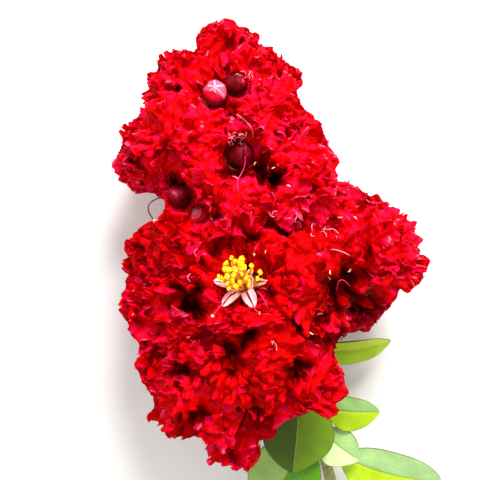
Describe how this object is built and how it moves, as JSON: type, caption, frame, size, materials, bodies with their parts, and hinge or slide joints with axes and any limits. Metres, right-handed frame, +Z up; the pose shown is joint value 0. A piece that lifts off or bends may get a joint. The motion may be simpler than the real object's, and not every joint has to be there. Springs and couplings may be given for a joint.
{
  "type": "cut crape myrtle flowering branch",
  "caption": "Cut flowering branch of crape myrtle: a dense cone of ruffled red blooms on branching stalks, with round buds and leaves on a woody stem, lying on its side.",
  "frame": {"origin": "middle of the branch's footprint, on the surface it lies on", "axes": "+Y up the panicle towards its tip, +X to the right of the pictured face, +Z up out of that face"},
  "size_m": [0.1089, 0.1987, 0.0854],
  "materials": {
    "petals": "soft crinkled scarlet petals with a slight silky sheen",
    "bark": "green brown young twig with fine ridges, dark red towards the blooms",
    "leaves": "smooth green leaf with a waxy gloss and a pale midrib"
  },
  "bodies": {
    "root": {"stem": "bark", "branch_arm": "bark", "branch_back_foot": "bark", "branch_back_low": "bark", "branch_back_middle": "bark", "branch_bottom": "bark", "branch_foot_left": "bark", "branch_front_foot": "bark", "branch_front_low": "bark", "branch_front_middle": "bark", "branch_front_upper": "bark", "branch_low_left": "bark", "branch_low_right": "bark", "branch_shoulder_left": "bark", "branch_shoulder_right": "bark", "branch_side_left": "bark", "branch_side_low": "bark", "bloom_arm_1": "petals", "bloom_arm_2": "petals", "bloom_arm_3": "petals", "bloom_arm_4": "petals", "bloom_back_foot_1": "petals", "bloom_back_low_1": "petals", "bloom_back_low_2": "petals", "bloom_back_middle_1": "petals", "bloom_back_middle_2": "petals", "bloom_back_middle_3": "petals", "bloom_bottom_1": "petals", "bloom_foot_left_1": "petals", "bloom_front_foot_1": "petals", "bloom_front_low_1": "petals", "bloom_front_low_2": "petals", "bloom_front_middle_1": "petals", "bloom_front_middle_2": "petals", "bloom_front_middle_3": "petals", "bloom_front_upper_1": "petals", "bloom_front_upper_2": "petals", "bloom_low_left_1": "petals", "bloom_low_left_2": "petals", "bloom_low_left_3": "petals", "bloom_low_right_1": "petals", "bloom_shoulder_left_1": "petals", "bloom_shoulder_left_2": "petals", "bloom_shoulder_left_3": "petals", "bloom_shoulder_right_1": "petals", "bloom_shoulder_right_2": "petals", "bloom_shoulder_right_3": "petals", "bloom_side_left_1": "petals", "bloom_side_left_2": "petals", "bloom_side_low_1": "petals", "bloom_tip_1": "petals", "bloom_tip_2": "petals", "bloom_tip_3": "petals", "bloom_tip_4": "petals", "leaf_arm": "leaves", "leaf_front": "leaves", "leaf_lower_left": "leaves", "leaf_lower_middle": "leaves", "leaf_lower_right": "leaves", "leaf_right": "leaves"}
  },
  "joints": []
}
